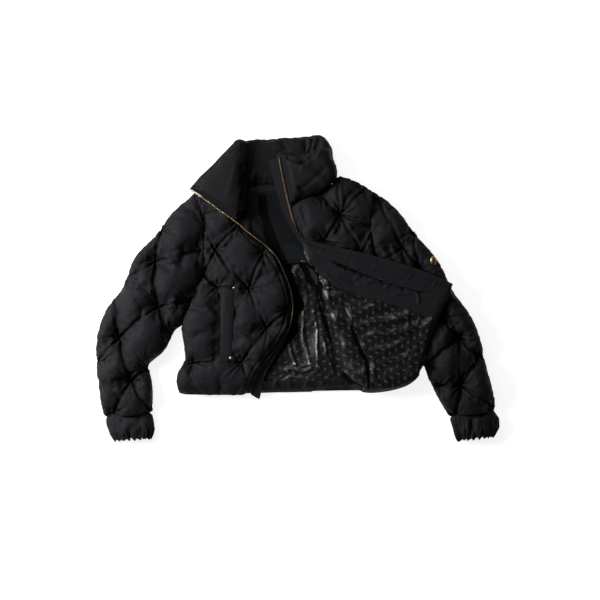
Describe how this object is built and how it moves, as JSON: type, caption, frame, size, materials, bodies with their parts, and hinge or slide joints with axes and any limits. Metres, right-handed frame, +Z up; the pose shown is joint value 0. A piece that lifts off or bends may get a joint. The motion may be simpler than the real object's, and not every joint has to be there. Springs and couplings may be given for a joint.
{
  "type": "puffer jacket",
  "caption": "Cropped quilted puffer jacket laid open on its back, with a tall padded collar, a metal zip, a welt pocket, gathered cuffs and one front turned back.",
  "frame": {"origin": "middle of the laid-out garment's box, on the surface it lies on", "axes": "+Y towards the collar, +X towards the wearer's left, +Z up from the surface"},
  "size_m": [0.9232, 0.6986, 0.0628],
  "materials": {
    "shell": "matte woven nylon over padding",
    "facing": "smooth matte facing",
    "lining": "glossy patterned lining",
    "tape": "matte woven zip tape",
    "gold": "polished gold-coloured metal",
    "label": "plain pale satin label"
  },
  "bodies": {
    "root": {"back": "shell", "back_hem_facing": "facing", "back_lining": "lining", "care_label": "label", "collar": "shell", "left_collar_placket": "facing", "left_cuff": "shell", "left_facing": "facing", "left_front": "shell", "left_front_lining": "lining", "left_hem_facing": "facing", "left_placket": "facing", "left_sleeve": "shell", "left_zip_tape_collar": "tape", "left_zip_tape_front": "tape", "left_zip_teeth_collar": "gold", "left_zip_teeth_front": "gold", "neck_facing": "facing", "pocket_snap_1": "gold", "pocket_snap_2": "gold", "right_cuff": "shell", "right_front": "shell", "right_placket": "facing", "right_pocket_welt": "shell", "right_sleeve": "shell", "right_zip_tape_collar": "tape", "right_zip_tape_front": "tape", "right_zip_teeth": "gold", "sleeve_stud": "gold", "zip_pull": "gold", "zip_slider": "gold"}
  },
  "joints": []
}
